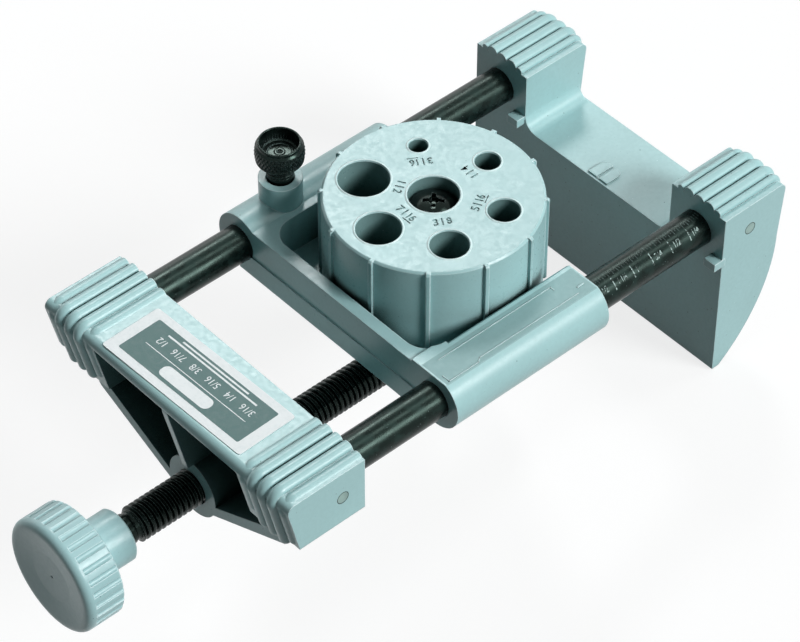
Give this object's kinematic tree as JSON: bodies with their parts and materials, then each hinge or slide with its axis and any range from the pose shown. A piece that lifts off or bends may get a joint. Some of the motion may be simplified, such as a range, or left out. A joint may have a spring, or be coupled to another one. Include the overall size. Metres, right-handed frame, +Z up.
{
  "type": "doweling jig",
  "caption": "Doweling jig with a ribbed drill turret on a sliding carriage between two cast jaws on twin guide rods, closed by a knurled clamp screw.",
  "frame": {"origin": "turret axis on the work plane, the carriage's flat underside that rests on the edge of the stock", "axes": "+X along the rods to the fixed jaw, +Y to the plain rod with the lock screw, +Z up out of the drill holes"},
  "size_m": [0.1982, 0.0888, 0.0686],
  "materials": {
    "jaw_alloy": "satin as cast",
    "bracket_alloy": "satin as cast",
    "carriage_alloy": "satin as cast",
    "turret_steel": "satin",
    "knob_alloy": "satin",
    "pad_alloy": "satin",
    "black_rod": "black oxide, polished",
    "black_screw": "black oxide",
    "pin_steel": "cut ends",
    "washer_steel": "zinc plated",
    "spring_steel": "hardened",
    "plug_brass": "turned",
    "label": "printed foil, blank"
  },
  "bodies": {
    "frame": {"fixed_jaw": "jaw_alloy", "screw_bracket": "bracket_alloy", "scale_rod": "black_rod", "plain_rod": "black_rod", "scale_rod_jaw_pin": "pin_steel", "plain_rod_jaw_pin": "pin_steel", "scale_rod_bracket_pin": "pin_steel", "plain_rod_bracket_pin": "pin_steel", "label_plate": "label"},
    "carriage": {"carriage": "carriage_alloy", "turret_screw": "black_screw", "turret_washer": "washer_steel", "turret_cone_washer": "spring_steel"},
    "turret": {"turret": "turret_steel"},
    "lock_plug": {"lock_plug": "plug_brass"},
    "thumbscrew": {"thumbscrew": "black_screw"},
    "pad": {"clamp_pad": "pad_alloy"},
    "clamp_screw": {"lead_screw": "black_screw", "knob": "knob_alloy", "pad_clip": "spring_steel"}
  },
  "joints": [
    {"name": "carriage_slide", "type": "slide", "parent": "frame", "child": "carriage", "axis": [1, 0, 0], "range_m": [-0.0291, 0.035]},
    {"name": "turret_turn", "type": "hinge", "parent": "carriage", "child": "turret", "pos_m": [0, 0, 0], "axis": [0, 0, 1], "continuous": true},
    {"name": "plug_travel", "type": "slide", "parent": "carriage", "child": "lock_plug", "axis": [0, 0, 1], "range_m": [-0.00028, 0.00226]},
    {"name": "lock_screw_turn", "type": "hinge", "parent": "lock_plug", "child": "thumbscrew", "pos_m": [-0.0182, 0.03527, 0.02], "axis": [0, 0, 1], "range_deg": [-79.5, 641]},
    {"name": "pad_travel", "type": "slide", "parent": "frame", "child": "pad", "axis": [1, 0, 0], "range_m": [-0.0754, 0.0219]},
    {"name": "clamp_screw_turn", "type": "hinge", "parent": "pad", "child": "clamp_screw", "pos_m": [0, 0, -0.0182], "axis": [1, 0, 0], "range_deg": [-17100, 4968]}
  ],
  "couplings": [
    {"joint": "lock_screw_turn", "follows": "plug_travel", "rad_per_m": 4947.4},
    {"joint": "clamp_screw_turn", "follows": "pad_travel", "rad_per_m": 3957.9}
  ]
}
